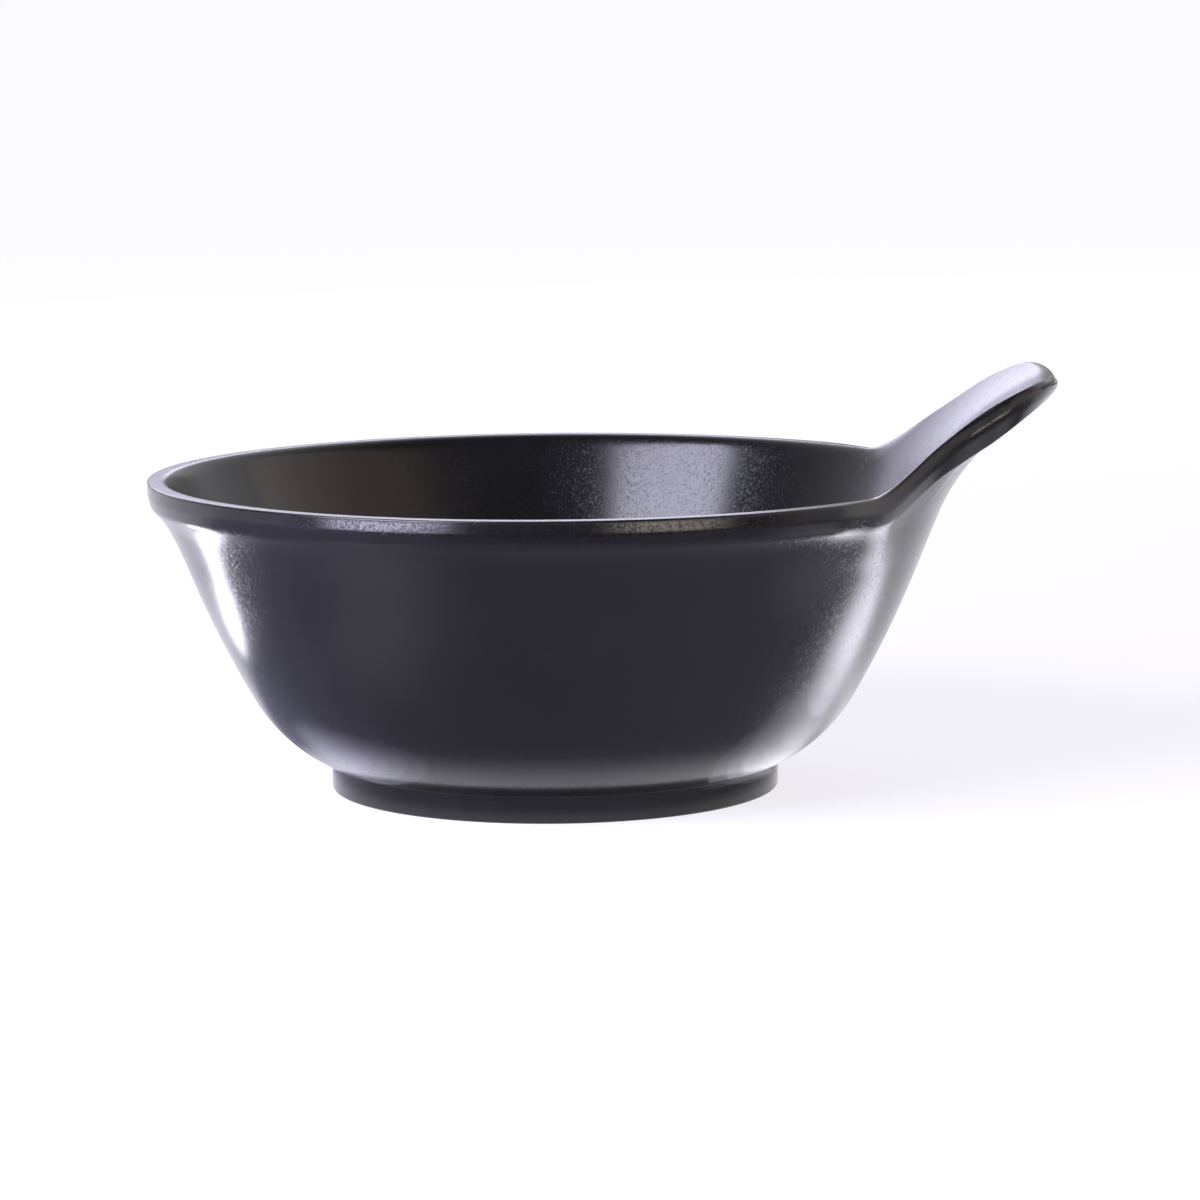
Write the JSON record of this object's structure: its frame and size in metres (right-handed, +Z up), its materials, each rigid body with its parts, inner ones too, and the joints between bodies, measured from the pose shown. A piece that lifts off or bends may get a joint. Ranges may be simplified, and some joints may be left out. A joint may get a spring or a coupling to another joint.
{
  "type": "handled mixing bowl",
  "caption": "Round footed mixing bowl in satin black with a thick flared rim and one broad upswept handle that grows out of the rim.",
  "frame": {"origin": "on the plane the foot stands on, midway between the rim's far side and the handle's tip, in the plane that halves the bowl; the bowl's own axis stands at x = -10.85 mm", "axes": "+X from the bowl towards the handle's tip, +Z up out of the bowl's mouth, +Y to the left of someone looking along +X"},
  "size_m": [0.203, 0.1812, 0.093],
  "materials": {
    "body_glaze": "satin",
    "handle_glaze": "satin",
    "foot_glaze": "satin"
  },
  "bodies": {
    "root": {"bowl_body": "body_glaze", "handle": "handle_glaze", "foot_ring": "foot_glaze"}
  },
  "joints": []
}
